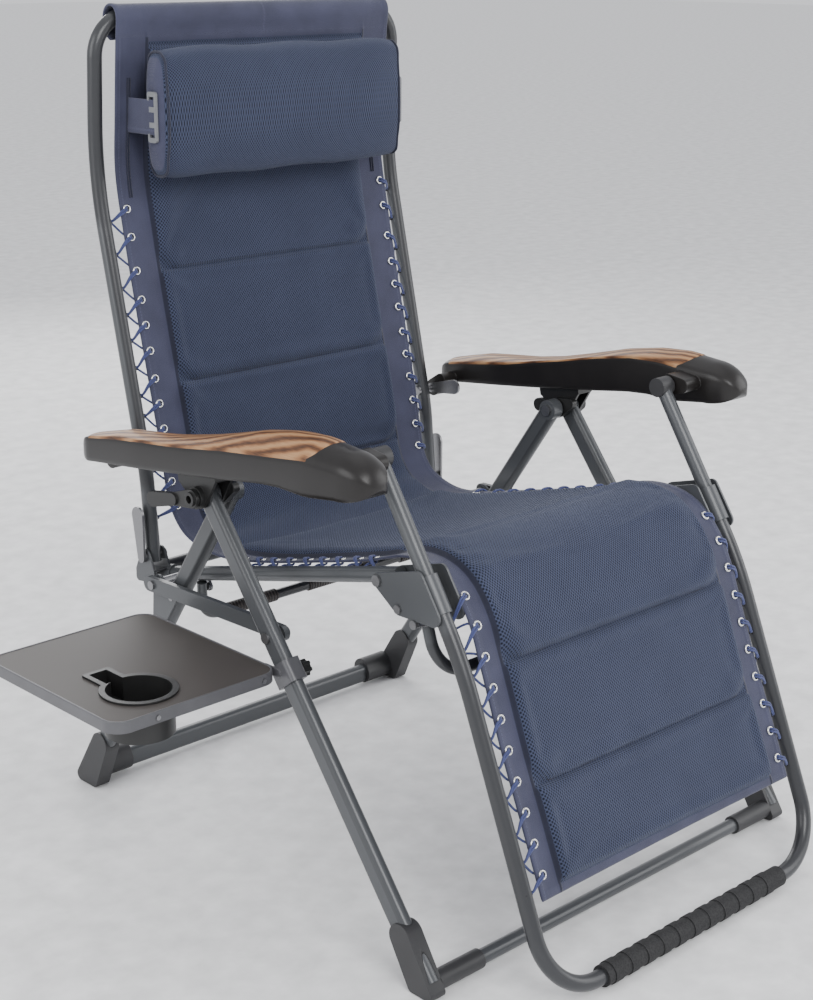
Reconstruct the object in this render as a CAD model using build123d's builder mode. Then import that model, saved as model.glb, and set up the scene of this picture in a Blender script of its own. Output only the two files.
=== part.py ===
from build123d import *
import os
from math import sin, cos, tan, atan2, radians, degrees, hypot

# Zero gravity recliner, standing open on its two floor bars, in millimetres.
# The sitter faces -Y, +Z is up. Points are worked out from the floor, in the middle between the
# leg pairs. Each piece is then saved with the middle of the whole chair, side table included,
# over the origin.
stand = (112.0, 60.0, 0.0)

# tubes
tube_r = 10.0
leg_w, leg_t = 30.0, 18.0
leg_corner = 8.5
pin_r, hole_r = 4.0, 4.06
# half distances from the middle plane
x_front = 335.0
x_rear = 299.0
x_back = 265.0
x_rail = 250.0
x_legrest = 262.0
x_arm = 335.0
# side view, as (y, z): the pivots of the mechanism
apex = (26.0, 524.0)
stay_pivot = (-93.0, 370.0)
seat_pivot = (172.0, 363.0)
back_pivot = (246.0, 374.0)
knee_pivot = (-221.0, 462.0)
arm_rise = (15.0, 144.0)
arm_rear = (back_pivot[0] + arm_rise[0], back_pivot[1] + arm_rise[1])
arm_front = (knee_pivot[0] + arm_rise[0], knee_pivot[1] + arm_rise[1])
# side view: floor bars
front_bar = (-371.0, 14.0)
rear_bar = (371.0, 19.0)
# side view: bends of the back, legrest and seat tubes
back_low, back_mid = (245.1, 366.0), (256.0, 490.0)
back_high, back_top = (347.0, 885.0), (334.0, 1090.0)
legrest_bend, legrest_foot = (-346.0, 390.0), (-500.0, 16.0)
rail_rear = (300.0, 330.0)
rail_slope = (463.0 - 330.0) / (-221.0 - 300.0)
# fabric
back_half, seat_half = 226.0, 214.0
back_eyelet_x, seat_eyelet_x = 234.0, 222.0
# tray
tray_in, tray_out = -350.0, -592.0
tray_y0, tray_y1 = -127.0, 147.0
tray_z, tray_h = 341.0, 15.0

os.makedirs("parts", exist_ok=True)
SIDES = {"right": -1, "left": 1}


def save(solid, name):
    placed = solid.moved(Location(stand))
    placed.label = name
    export_step(placed, f"parts/{name}.step")


def along(a, b, d):
    """The point at distance d from a towards b, in the side view."""
    n = hypot(b[0] - a[0], b[1] - a[1])
    return (a[0] + (b[0] - a[0]) * d / n, a[1] + (b[1] - a[1]) * d / n)


def rail_at(y):
    return rail_rear[1] + (y - rail_rear[0]) * rail_slope


def bent_line(points, radii):
    """Straight runs joined by tangent arcs, inside a BuildLine."""
    pts = [Vector(*p) for p in points]
    last = pts[0]
    for i in range(1, len(pts) - 1):
        u = (pts[i - 1] - pts[i]).normalized()
        w = (pts[i + 1] - pts[i]).normalized()
        half = radians(u.get_angle(w)) / 2
        run = radii[i - 1] / tan(half)
        mid = (u + w).normalized()
        start = pts[i] + u * run
        end = pts[i] + w * run
        centre = pts[i] + mid * (radii[i - 1] / sin(half))
        Line(last, start)
        ThreePointArc(start, centre - mid * radii[i - 1], end)
        last = end
    Line(last, pts[-1])


def bar(points, radii, r):
    """A round bar along a bent line."""
    with BuildPart() as piece:
        with BuildLine() as path:
            if len(points) == 2:
                Line(points[0], points[1])
            else:
                bent_line(points, radii)
        with BuildSketch(path.line ^ 0):
            Circle(r)
        sweep(path=path.line)
    return piece.part


def cross(point, x0, x1, r, inner=0.0):
    """A round pin or sleeve that lies along X at a side-view point."""
    low, high = min(x0, x1), max(x0, x1)
    with BuildPart() as piece:
        with BuildSketch(Plane.YZ.offset(low)):
            with Locations(point):
                Circle(r)
                if inner > 0:
                    Circle(inner, mode=Mode.SUBTRACT)
        extrude(amount=high - low)
    return piece.part


def plate(rounds, x0, x1, holes=()):
    """A flat plate: the hull of circles (y, z, r), between two X planes."""
    low, high = min(x0, x1), max(x0, x1)
    with BuildPart() as piece:
        with BuildSketch(Plane.YZ.offset(low)):
            with BuildLine():
                for y, z, r in rounds:
                    CenterArc((y, z), r, 0, 360)
            make_hull()
            for y, z, r in holes:
                with Locations((y, z)):
                    Circle(r, mode=Mode.SUBTRACT)
        extrude(amount=high - low)
    return piece.part


def leg_tube(low, high, x):
    """A flat-sided leg tube from a low to a high side-view point, round at its top."""
    length = hypot(high[0] - low[0], high[1] - low[1])
    way = (0, high[0] - low[0], high[1] - low[1])
    across = Plane(origin=(x, low[0], low[1]), x_dir=(1, 0, 0), z_dir=way)
    with BuildPart() as piece:
        with BuildSketch(across):
            RectangleRounded(leg_t, leg_w, leg_corner)
        extrude(amount=length)
        with BuildSketch(Plane.YZ.offset(x - leg_t / 2)):
            with Locations(high):
                Circle(leg_w / 2)
        extrude(amount=leg_t)
        with BuildSketch(Plane.YZ.offset(x - leg_t / 2)):
            with Locations(high):
                Circle(5.06)
        extrude(amount=leg_t, mode=Mode.SUBTRACT)
    return piece.part


bar_end = x_front - leg_t / 2 - 0.02
# ---- front legs: flat-sided tubes from the apex to the floor bar, with plastic corner feet
for side, s in SIDES.items():
    x = s * x_front
    leg = leg_tube(front_bar, apex, x)
    with BuildPart() as front_leg:
        add(leg)
        with BuildSketch(Plane.YZ.offset(x - leg_t)):
            with Locations(stay_pivot):
                Circle(hole_r)
        extrude(amount=2 * leg_t, mode=Mode.SUBTRACT)
    save(front_leg.part, f"front_leg_{side}")
    up = along(front_bar, apex, 62)
    with BuildPart() as front_foot:
        add(plate([(-381, 7, 7), (-354, 7, 7), (up[0], up[1], 17.5)], x - 11.5, x + 11.5))
        add(cross(front_bar, x - s * 11, x - s * 84, 12.5))
        split(bisect_by=Plane.XY)
        add(leg, mode=Mode.SUBTRACT)
        add(cross(front_bar, x, 0, 9.5), mode=Mode.SUBTRACT)
    save(front_foot.part, f"front_foot_{side}")

save(bar([(-bar_end, *front_bar), (bar_end, *front_bar)], [], 9.5), "front_floor_bar")

# ---- rear legs: the same tube, one tube width further in, with the seat pivot plate outside
rear_end = x_rear - leg_t / 2 - 0.02
with BuildPart() as rear_floor_bar:
    with BuildSketch(Plane.YZ.offset(-rear_end)):
        with Locations(rear_bar):
            RectangleRounded(leg_t, leg_w, leg_corner)
    extrude(amount=2 * rear_end)
save(rear_floor_bar.part, "rear_floor_bar")

for side, s in SIDES.items():
    x = s * x_rear
    leg = leg_tube(rear_bar, apex, x)
    save(leg, f"rear_leg_{side}")
    up = along(rear_bar, apex, 66)
    with BuildPart() as rear_foot:
        add(plate([(385, 9, 9), (352, 7, 7), (up[0], up[1], 17.5)], x - 11.5, x + 11.5))
        add(plate([(372, 19, 17), (375, 25, 17)], x - s * 11, x - s * 62))
        split(bisect_by=Plane.XY)
        add(leg, mode=Mode.SUBTRACT)
        add(rear_floor_bar.part, mode=Mode.SUBTRACT)
    save(rear_foot.part, f"rear_foot_{side}")
    skin = x + s * leg_t / 2
    high = along(apex, rear_bar, 210)
    low = along(apex, rear_bar, 270)
    save(
        plate(
            [(*seat_pivot, 12), (*high, 10), (*low, 10)],
            skin + s * 0.02,
            skin + s * 3.0,
            [(*seat_pivot, hole_r), (*high, 3.02), (*low, 3.02)],
        ),
        f"seat_pivot_plate_{side}",
    )

with BuildPart() as plate_rivets:
    for s in (-1, 1):
        for d in (210, 270):
            spot = along(apex, rear_bar, d)
            skin = s * (x_rear + leg_t / 2)
            add(cross(spot, skin + s * 0.02, skin + s * 3.02, 3.0))
            add(cross(spot, skin + s * 3.02, skin + s * 5.0, 5.0))
save(plate_rivets.part, "plate_rivets")

# ---- brace stays: channels between the leg planes, from the front leg back to the seat pivot
stay_end = along(stay_pivot, seat_pivot, 274)
stay_skin = 314.0
for side, s in SIDES.items():
    body = plate([(*stay_pivot, 10), (*stay_end, 10)], s * stay_skin, s * 322, [(*stay_pivot, hole_r)])
    groove_a = along(stay_pivot, seat_pivot, 40)
    groove_b = along(stay_pivot, seat_pivot, 268)
    with BuildPart() as stay:
        add(body)
        add(plate([(*groove_a, 8), (*groove_b, 8)], s * (stay_skin - 1), s * 320), mode=Mode.SUBTRACT)
    save(stay.part, f"brace_stay_{side}")

with BuildPart() as stay_rivets:
    for s in (-1, 1):
        add(cross(stay_pivot, s * 311, s * 347, pin_r))
        add(cross(stay_pivot, s * 311, s * 313.9, 7))
        add(cross(stay_pivot, s * 344.1, s * 347, 7))
        add(cross(seat_pivot, s * 322.02, s * 325, 6))
save(stay_rivets.part, "stay_rivets")

# ---- seat: side rails with a bend into one rear cross tube
knee_end = (-231.0, rail_at(-231.0))
rail_low = 300.0
ends = [(-x_rail, *knee_end), (-x_rail, rail_low, rail_at(rail_low))]
ends += [(x_rail, rail_low, rail_at(rail_low)), (x_rail, *knee_end)]
with BuildPart() as seat_frame:
    add(bar(ends, [38, 38], tube_r))
    for s in (-1, 1):
        add(cross(knee_pivot, s * 238, s * 262, hole_r), mode=Mode.SUBTRACT)
        add(cross(seat_pivot, s * 238, s * 262, hole_r), mode=Mode.SUBTRACT)
save(seat_frame.part, "seat_frame")

# the two bars under the sling drop from the rails to leave room for the sitter
rear_u = along(seat_pivot, back_pivot, -14)
drop = [(-x_rail, rear_u[0], rail_at(rear_u[0]) - 13), (-x_rail + 4, 162, 302)]
drop += [(x_rail - 4, 162, 302), (x_rail, rear_u[0], rail_at(rear_u[0]) - 13)]
save(bar(drop, [26, 26], 7.0), "rear_u_bar")
with BuildPart() as sleeves:
    for a, b in ((-205, -120), (-60, 60), (120, 205)):
        add(cross((162, 302), a, b, 9.0, 7.02))
save(sleeves.part, "u_bar_sleeves")

for side, s in SIDES.items():
    foot = rail_at(back_pivot[0])
    ear = [(*back_pivot, 11), (232, foot + 12, 6), (262, foot + 8, 6)]
    with BuildPart() as hinge_bracket:
        add(plate(ear + [(232, foot + 2, 6), (262, foot - 2, 6)], s * 276.5, s * 279.5))
        add(plate(ear, s * 250.5, s * 253.5))
        add(plate([(228, foot + 13.5, 2), (264, foot + 4.5, 2)], s * 250.5, s * 279.5))
        with BuildSketch(Plane.YZ.offset(-300)):
            with Locations(back_pivot):
                Circle(hole_r)
        extrude(amount=600, mode=Mode.SUBTRACT)
        with BuildLine() as run:
            Line((s * x_rail, 216, rail_at(216)), (s * x_rail, 262, rail_at(262)))
        with BuildSketch(run.line ^ 0):
            Circle(12.4)
        sweep(path=run.line)
        add(seat_frame.part, mode=Mode.SUBTRACT)
    save(hinge_bracket.part, f"rear_hinge_bracket_{side}")

spacers = [(-257.0, 436.0), (-284.0, 424.0)]

# ---- pivot pins, each with the link plate that turns with it
link_low = (rear_u[0], 345.0)
with BuildPart() as seat_pins:
    for s in (-1, 1):
        add(cross(seat_pivot, s * 236, s * 312.5, pin_r))
        add(cross(seat_pivot, s * 260.4, s * 307.6, 7))
        add(plate([(*seat_pivot, 7), (*link_low, 6.5)], s * 236, s * 239.6))
        add(cross(link_low, s * 239, s * 241.7, 5))
save(seat_pins.part, "seat_pivot_pins")

with BuildPart() as back_pins:
    for s in (-1, 1):
        add(cross(back_pivot, s * 248, s * 283, pin_r))
        add(cross(back_pivot, s * 279.7, s * 283.2, 7))
        add(cross(back_pivot, s * 247, s * 250.3, 7))
        add(plate([(*back_pivot, 7), (*along(back_pivot, back_mid, 60), 12)], s * 283, s * 286.5))
save(back_pins.part, "back_pivot_pins")

with BuildPart() as knee_pins:
    for s in (-1, 1):
        add(cross(knee_pivot, s * 232, s * 281.5, pin_r))
        add(cross(knee_pivot, s * 278.3, s * 281.5, 7))
        add(cross(knee_pivot, s * 230.8, s * 234.6, 7))
        add(plate([(*knee_pivot, 7), (*along(knee_pivot, spacers[1], 60), 12)], s * 227.3, s * 230.98))
save(knee_pins.part, "knee_pivot_pins")

with BuildPart() as arm_pins:
    for s in (-1, 1):
        add(cross(arm_rear, s * 251, s * 300, pin_r))
        add(cross(arm_rear, s * 251, s * 254.6, 7))
        add(plate([(*arm_rear, 7), (*along(arm_rear, arm_front, 50), 11)], s * 281, s * 284.9))
save(arm_pins.part, "arm_rear_pins")

with BuildPart() as apex_pins:
    for s in (-1, 1):
        add(cross(apex, s * 286, s * 354, 5.0))
        add(cross(apex, s * 286, s * 289.6, 8))
save(apex_pins.part, "apex_pins")

# ---- back: one tube bent over the top
side_run = [back_low, back_mid, back_high, back_top]
points = [(-x_back, *p) for p in side_run] + [(x_back, *p) for p in reversed(side_run)]
with BuildPart() as back_frame:
    add(bar(points, [400, 500, 52, 52, 500, 400], tube_r))
    for s in (-1, 1):
        add(cross(back_pivot, s * 250, s * 280, hole_r), mode=Mode.SUBTRACT)
        add(cross(arm_rear, s * 250, s * 280, hole_r), mode=Mode.SUBTRACT)
save(back_frame.part, "back_frame")

# ---- legrest: one tube that dips at the foot end, clamped in the knee brackets
side_run = [arm_front, legrest_bend, legrest_foot]
points = [(-x_legrest, *p) for p in side_run] + [(x_legrest, *p) for p in reversed(side_run)]
with BuildPart() as legrest_frame:
    add(bar(points, [500, 78, 78, 500], tube_r))
    for s in (-1, 1):
        add(cross(arm_front, s * 245, s * 276, 13.02), mode=Mode.SUBTRACT)
save(legrest_frame.part, "legrest_frame")

with BuildPart() as grip:
    add(cross(legrest_foot, -176, 176, 13.5))
    for i in range(11):
        add(cross(legrest_foot, -165 + 30 * i, -150 + 30 * i, 14.6))
    add(cross(legrest_foot, -180, 180, tube_r + 0.02), mode=Mode.SUBTRACT)
save(grip.part, "legrest_grip")

with BuildPart() as end_caps:
    for s in (-1, 1):
        add(cross(arm_front, s * 250, s * 273.5, 13.0))
        add(cross(arm_front, s * 258, s * 280, 6.5), mode=Mode.SUBTRACT)
save(end_caps.part, "legrest_end_caps")

tube_high = along(arm_front, legrest_bend, 150)
tube_low = along(arm_front, legrest_bend, 198)
for side, s in SIDES.items():
    shape = [(*knee_pivot, 9), (*tube_high, 10), (*tube_low, 11), (*spacers[0], 8)]
    holes = [(*knee_pivot, hole_r)]
    holes += [(*p, 3.02) for p in spacers]
    with BuildPart() as knee_bracket:
        add(plate(shape, s * 275.0, s * 278.0, holes))
        add(plate(shape, s * 235.0, s * 238.0, holes))
        with BuildLine() as run:
            Line((s * x_legrest, *tube_high), (s * x_legrest, *tube_low))
        with BuildSketch(run.line ^ 0):
            Circle(13.2)
        sweep(path=run.line)
        with BuildLine() as core:
            Line((s * x_legrest, *arm_front), (s * x_legrest, *legrest_bend))
        with BuildSketch(core.line ^ 0):
            Circle(tube_r + 0.02)
        sweep(path=core.line, mode=Mode.SUBTRACT)
    save(knee_bracket.part, f"knee_bracket_{side}")

with BuildPart() as knee_rivets:
    for s in (-1, 1):
        for p in spacers:
            add(cross(p, s * 232, s * 281, 3.0))
            add(cross(p, s * 278.1, s * 281, 5.5))
            add(cross(p, s * 232, s * 234.9, 5.5))
            add(cross(p, s * 238.1, s * 274.9, 5.0))
save(knee_rivets.part, "knee_rivets")

drop = [(-x_legrest + 6, -284, 417), (-x_legrest + 6, -303, 358), (x_legrest - 6, -303, 358), (x_legrest - 6, -284, 417)]
save(bar(drop, [44, 44], 7.5), "knee_u_bar")


# ---- armrests: a raised front, a channel underneath for the sliding carriage
def channel_at(d, up):
    """A point at distance d along the armrest from its rear pivot, raised by up."""
    y, z = along(arm_rear, arm_front, d)
    return (y, z + up)


arm_under = [(274, 516), (60, 545), (-150, 574)]
arm_over = [(274, 552), (150, 561), (10, 590), (-150, 640), (-236, 627)]
for side, s in SIDES.items():
    with BuildPart() as armrest:
        with BuildSketch(Plane.YZ.offset(s * x_arm - 36)):
            with BuildLine():
                Polyline(arm_over[0], arm_under[0], arm_under[1], arm_under[2])
                Spline(arm_under[2], (-196, 570), (-262, 582), (-285, 603), arm_over[-1])
                Spline(*arm_over)
            make_face()
        extrude(amount=72)
        with BuildSketch(Plane.XY.offset(480)):
            with BuildLine():
                Spline(
                    (s * x_arm - 20, 268),
                    (s * x_arm - 26, 150),
                    (s * x_arm - 27, 0),
                    (s * x_arm - 32, -190),
                    (s * x_arm - 14, -280),
                )
                Line((s * x_arm - 14, -280), (s * x_arm + 14, -280))
                Spline(
                    (s * x_arm + 14, -280),
                    (s * x_arm + 32, -190),
                    (s * x_arm + 27, 0),
                    (s * x_arm + 26, 150),
                    (s * x_arm + 20, 268),
                )
                ThreePointArc((s * x_arm + 20, 268), (s * x_arm, 277), (s * x_arm - 20, 268))
            make_face()
        extrude(amount=200, mode=Mode.INTERSECT)
        # channel, open below
        corners = [(*channel_at(62, -80), 1), (*channel_at(400, -80), 1)]
        corners += [(*channel_at(62, 10), 1), (*channel_at(400, 10), 1)]
        add(plate(corners, s * x_arm - 18, s * x_arm + 18), mode=Mode.SUBTRACT)
        # lugs to the back tube and to the top of the legrest tube
        add(plate([(*arm_rear, 13), (arm_rear[0] - 16, arm_rear[1] + 14, 10)], s * 285, s * 318))
        add(cross(arm_rear, s * 270, s * 301, hole_r), mode=Mode.SUBTRACT)
        add(plate([(*arm_front, 15), (arm_front[0] - 22, arm_front[1] + 2, 10)], s * 275.5, s * 310))
        add(cross(arm_front, s * 259, s * 276, 4.5))
    top = Plane.XY.offset(480)
    with BuildPart() as inlay:
        with BuildSketch(Plane.YZ.offset(s * x_arm - 36)):
            with BuildLine():
                Spline(*[(y, z + 1.2) for y, z in arm_over])
                Spline(*[(y, z - 3.0) for y, z in arm_over])
                Line((arm_over[0][0], arm_over[0][1] + 1.2), (arm_over[0][0], arm_over[0][1] - 3.0))
                Line((arm_over[-1][0], arm_over[-1][1] + 1.2), (arm_over[-1][0], arm_over[-1][1] - 3.0))
            make_face()
        extrude(amount=72)
        with BuildSketch(top):
            with BuildLine():
                Spline((s * x_arm - 14, 256), (s * x_arm - 20, 150), (s * x_arm - 20, 0), (s * x_arm - 25, -190))
                ThreePointArc((s * x_arm - 25, -190), (s * x_arm, -214), (s * x_arm + 25, -190))
                Spline((s * x_arm + 25, -190), (s * x_arm + 20, 0), (s * x_arm + 20, 150), (s * x_arm + 14, 256))
                ThreePointArc((s * x_arm + 14, 256), (s * x_arm, 264), (s * x_arm - 14, 256))
            make_face()
        extrude(amount=200, mode=Mode.INTERSECT)
    with BuildPart() as armrest_body:
        add(armrest.part)
        add(inlay.part, mode=Mode.SUBTRACT)
    save(armrest_body.part, f"armrest_{side}")
    save(inlay.part, f"armrest_inlay_{side}")

# ---- sliding carriages over the leg tops, and their lock levers
tilt = atan2(knee_pivot[1] - back_pivot[1], back_pivot[0] - knee_pivot[0])


def slide_point(run, rise):
    """A point from the apex: run forwards along the armrest, rise square to it."""
    y = apex[0] - run * cos(tilt) + rise * sin(tilt)
    z = apex[1] + run * sin(tilt) + rise * cos(tilt)
    return (y, z)


lever_end = (104.0, 507.0)
for side, s in SIDES.items():
    block = [(*slide_point(a, b), 2) for a in (-36, 36) for b in (20, 34)]
    cheek = [(*apex, 15), (*slide_point(-34, 20), 3), (*slide_point(34, 20), 3)]
    with BuildPart() as carriage:
        add(plate(block, s * 320, s * 350))
        add(plate(cheek, s * 320, s * 324.5))
        add(plate(cheek, s * 345.5, s * 350))
        add(plate([(*apex, 15), (*slide_point(-26, 6), 7), (*slide_point(26, 6), 7)], s * 310.5, s * 320))
        add(cross(apex, s * 350, s * 357, 14))
        add(cross(apex, s * 305, s * 360, 5.06), mode=Mode.SUBTRACT)
    save(carriage.part, f"slide_carriage_{side}")
    with BuildPart() as lever:
        add(plate([(*apex, 12), (*along(apex, lever_end, 40), 8)], s * 357.6, s * 363, [(*apex, 5.06)]))
        add(plate([(*along(apex, lever_end, 36), 8), (*lever_end, 10)], s * 357.6, s * 366))
        add(cross(apex, s * 363, s * 366, 9, 5.06))
    save(lever.part, f"lock_lever_{side}")

# ---- side table on the right front leg
tray_x = (tray_in + tray_out) / 2
tray_y = (tray_y0 + tray_y1) / 2
cup = (-511.0, -61.0)
slot = (-519.0, -6.0)
with BuildPart() as tray_rim:
    with BuildSketch(Plane.XY.offset(tray_z - tray_h)):
        with Locations((tray_x, tray_y)):
            RectangleRounded(tray_in - tray_out, tray_y1 - tray_y0, 24)
            RectangleRounded(tray_in - tray_out - 6, tray_y1 - tray_y0 - 6, 21, mode=Mode.SUBTRACT)
    extrude(amount=tray_h)
    with BuildSketch(Plane.XY.offset(tray_z - tray_h)):
        with Locations((tray_x, tray_y)):
            RectangleRounded(tray_in - tray_out - 6, tray_y1 - tray_y0 - 6, 21)
            RectangleRounded(tray_in - tray_out - 26, tray_y1 - tray_y0 - 26, 12, mode=Mode.SUBTRACT)
    extrude(amount=2)
    top_edges = tray_rim.edges().group_by(Axis.Z)[-1]
    fillet(top_edges, 1.2)
save(tray_rim.part, "tray_rim")

with BuildPart() as tray_top:
    with BuildSketch(Plane.XY.offset(tray_z - 5)):
        with Locations((tray_x, tray_y)):
            RectangleRounded(tray_in - tray_out - 6.04, tray_y1 - tray_y0 - 6.04, 21)
        with Locations(cup):
            Circle(42.5, mode=Mode.SUBTRACT)
        with Locations(slot):
            Rectangle(31, 42, mode=Mode.SUBTRACT)
    extrude(amount=4.2)
save(tray_top.part, "tray_top")

with BuildPart() as cup_holder:
    with BuildSketch(Plane.XY.offset(tray_z - 0.78)):
        with Locations(cup):
            Circle(47)
        with Locations(slot):
            RectangleRounded(39, 48, 3)
        with Locations(cup):
            Circle(39.5, mode=Mode.SUBTRACT)
        with Locations(slot):
            Rectangle(25, 36, mode=Mode.SUBTRACT)
    extrude(amount=2.6)
    with BuildSketch(Plane.XY.offset(tray_z - 52)):
        with Locations(cup):
            Circle(42)
    extrude(amount=51.3)
    with BuildSketch(Plane.XY.offset(tray_z - 30)):
        with Locations(slot):
            Rectangle(30, 41)
    extrude(amount=29.3)
    with BuildSketch(Plane.XY.offset(tray_z - 50)):
        with Locations(cup):
            Circle(39.5)
    extrude(amount=60, mode=Mode.SUBTRACT)
    with BuildSketch(Plane.XY.offset(tray_z - 28)):
        with Locations(slot):
            Rectangle(25, 36)
    extrude(amount=60, mode=Mode.SUBTRACT)
save(cup_holder.part, "tray_cup_holder")

grip_spot = along(front_bar, apex, 402)
leg_dir = (0, apex[0] - front_bar[0], apex[1] - front_bar[1])
collar = Plane(origin=(-x_front, grip_spot[0], grip_spot[1]), x_dir=(1, 0, 0), z_dir=leg_dir)
with BuildPart() as tray_clamp:
    with BuildSketch(collar):
        RectangleRounded(26, 38, 7)
        RectangleRounded(leg_t + 0.04, leg_w + 0.04, leg_corner, mode=Mode.SUBTRACT)
    extrude(amount=14, both=True)
    add(plate([(-120, 334, 5), (-96, 334, 5)], tray_in + 0.02, -346.5))
save(tray_clamp.part, "tray_clamp")

with BuildPart() as knob:
    add(cross(grip_spot, -321.9, -315, 3.5))
    with BuildSketch(Plane.YZ.offset(-317)):
        with Locations(grip_spot):
            Circle(8.4)
        with Locations(grip_spot):
            with PolarLocations(8.2, 6):
                Circle(2.6)
    extrude(amount=11)
save(knob.part, "tray_knob")

with BuildPart() as tray_screws:
    with BuildSketch(Plane.XZ.offset(-tray_y0 + 0.02)):
        with Locations((tray_out + 60, tray_z - 8), (tray_in - 26, tray_z - 8)):
            Circle(3)
    extrude(amount=1.6)
save(tray_screws.part, "tray_screws")

# ---- sling: padded back, seat and legrest
lean = [(250, 430), back_mid, (342, 860), (336, 1068)]
with BuildPart() as back_sling:
    with BuildSketch(Plane.YZ.offset(-back_half)):
        with BuildLine():
            Spline(*[(y - 2, z) for y, z in lean])
            Spline(*[(y - 29, z) for y, z in lean])
            Line((lean[0][0] - 2, lean[0][1]), (lean[0][0] - 29, lean[0][1]))
            Line((lean[-1][0] - 2, lean[-1][1]), (lean[-1][0] - 29, lean[-1][1]))
        make_face()
    extrude(amount=2 * back_half)
    add(cross(back_top, -205, 205, 13))
    with BuildSketch(Plane.YZ.offset(-205)):
        with Locations((327, 1076)):
            Rectangle(12, 22)
    extrude(amount=410)
    add(cross(back_top, -240, 240, tube_r + 0.3), mode=Mode.SUBTRACT)
save(back_sling.part, "back_sling")

with BuildPart() as seat_sling:
    with BuildSketch(Plane.YZ.offset(-seat_half)):
        with BuildLine():
            Spline((214, 392), (60, 416), (-100, 457), (-212, 490))
            Line((-212, 490), (-212, 464))
            Spline((-212, 464), (-100, 431), (60, 390), (214, 366))
            Line((214, 366), (214, 392))
        make_face()
    extrude(amount=2 * seat_half)
save(seat_sling.part, "seat_sling")

with BuildPart() as legrest_sling:
    with BuildSketch(Plane.YZ.offset(-back_half + 4)):
        with BuildLine():
            Polyline((-303, 459), legrest_bend, (-456, 124), (-480, 134), (-370, 402), (-326, 471), close=True)
        make_face()
    extrude(amount=2 * back_half - 8)
save(legrest_sling.part, "legrest_sling")

# ---- headrest pillow on a strap that goes round behind the sling
with BuildPart() as pillow:
    add(plate([(284, 898, 21), (284, 1029, 21), (278, 962, 30)], -213, 213))
save(pillow.part, "headrest_pillow")

with BuildPart() as strap:
    with BuildSketch(Plane.XY.offset(948)):
        with Locations((0, 318)):
            RectangleRounded(462, 76, 12)
            RectangleRounded(458, 72, 10, mode=Mode.SUBTRACT)
        with Locations((0, 268)):
            Rectangle(470, 36, mode=Mode.SUBTRACT)
    extrude(amount=26)
save(strap.part, "pillow_strap")

with BuildPart() as buckles:
    for s in (-1, 1):
        side_face = Plane.YZ.offset(s * 219.5)
        with BuildSketch(side_face):
            with Locations((276, 961)):
                RectangleRounded(18, 66, 4)
                with Locations((0, -20), (0, 0), (0, 20)):
                    Rectangle(11, 13, mode=Mode.SUBTRACT)
        extrude(amount=2, both=True)
save(buckles.part, "pillow_buckles")


# ---- eyelets and elastic lacing loops
def back_tube_at(z):
    if z < back_mid[1]:
        low, high = back_low, back_mid
    else:
        low, high = back_mid, back_high
    return low[0] + (high[0] - low[0]) * (z - low[1]) / (high[1] - low[1])


def legrest_tube_at(z):
    return legrest_foot[0] + (legrest_bend[0] - legrest_foot[0]) * (z - legrest_foot[1]) / (
        legrest_bend[1] - legrest_foot[1]
    )


back_rows = [432 + 37 * i for i in range(12)]
seat_rows = [138 - 34 * i for i in range(10)]
legrest_rows = [378 - 29 * i for i in range(9)]


def ring(centre, normal):
    """An eyelet: a small ring round a point."""
    with BuildPart() as piece:
        with BuildSketch(Plane(origin=centre, z_dir=normal)):
            Circle(6.6)
            Circle(4.3, mode=Mode.SUBTRACT)
        extrude(amount=1.0, both=True)
    return piece.part


def loop(centre, normal, width, height):
    """An elastic loop round a tube and through an eyelet."""
    with BuildPart() as piece:
        with BuildSketch(Plane(origin=centre, x_dir=(1, 0, 0), z_dir=normal), mode=Mode.PRIVATE) as shape:
            RectangleRounded(width, height, height / 2 - 1)
        rim = shape.sketch.face().outer_wire()
        start = rim ^ 0
        with BuildSketch(start):
            Circle(1.4)
        sweep(path=rim)
    return piece.part


with BuildPart() as back_eyelets:
    for s in (-1, 1):
        for z in back_rows:
            add(ring((s * back_eyelet_x, back_tube_at(z) - 6, z), (0, 1, -0.2)))
save(back_eyelets.part, "back_eyelets")
with BuildPart() as seat_eyelets:
    for s in (-1, 1):
        for y in seat_rows:
            add(ring((s * seat_eyelet_x, y, rail_at(y) + 6), (0, 0.25, 1)))
save(seat_eyelets.part, "seat_eyelets")
with BuildPart() as legrest_eyelets:
    for s in (-1, 1):
        for z in legrest_rows:
            add(ring((s * (back_eyelet_x - 4), legrest_tube_at(z) - 5, z), (0, 1, -0.4)))
save(legrest_eyelets.part, "legrest_eyelets")

with BuildPart() as back_lacing:
    for s in (-1, 1):
        for z in back_rows:
            add(loop((s * (back_eyelet_x + 278.5) / 2, back_tube_at(z), z), (0, 0.2, 1), 44.5, 25))
save(back_lacing.part, "back_lacing")
with BuildPart() as seat_lacing:
    for s in (-1, 1):
        for y in seat_rows:
            add(loop((s * (seat_eyelet_x + 263.5) / 2, y, rail_at(y)), (0, 1, rail_slope), 41.5, 25))
save(seat_lacing.part, "seat_lacing")
with BuildPart() as legrest_lacing:
    for s in (-1, 1):
        for z in legrest_rows:
            inner = back_eyelet_x - 4
            add(loop((s * (inner + 276.5) / 2, legrest_tube_at(z), z), (0, 0.4, 1), 46.5, 26))
save(legrest_lacing.part, "legrest_lacing")
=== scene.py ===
import bpy, bmesh, math
import numpy as np
from mathutils import Vector, Matrix


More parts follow.
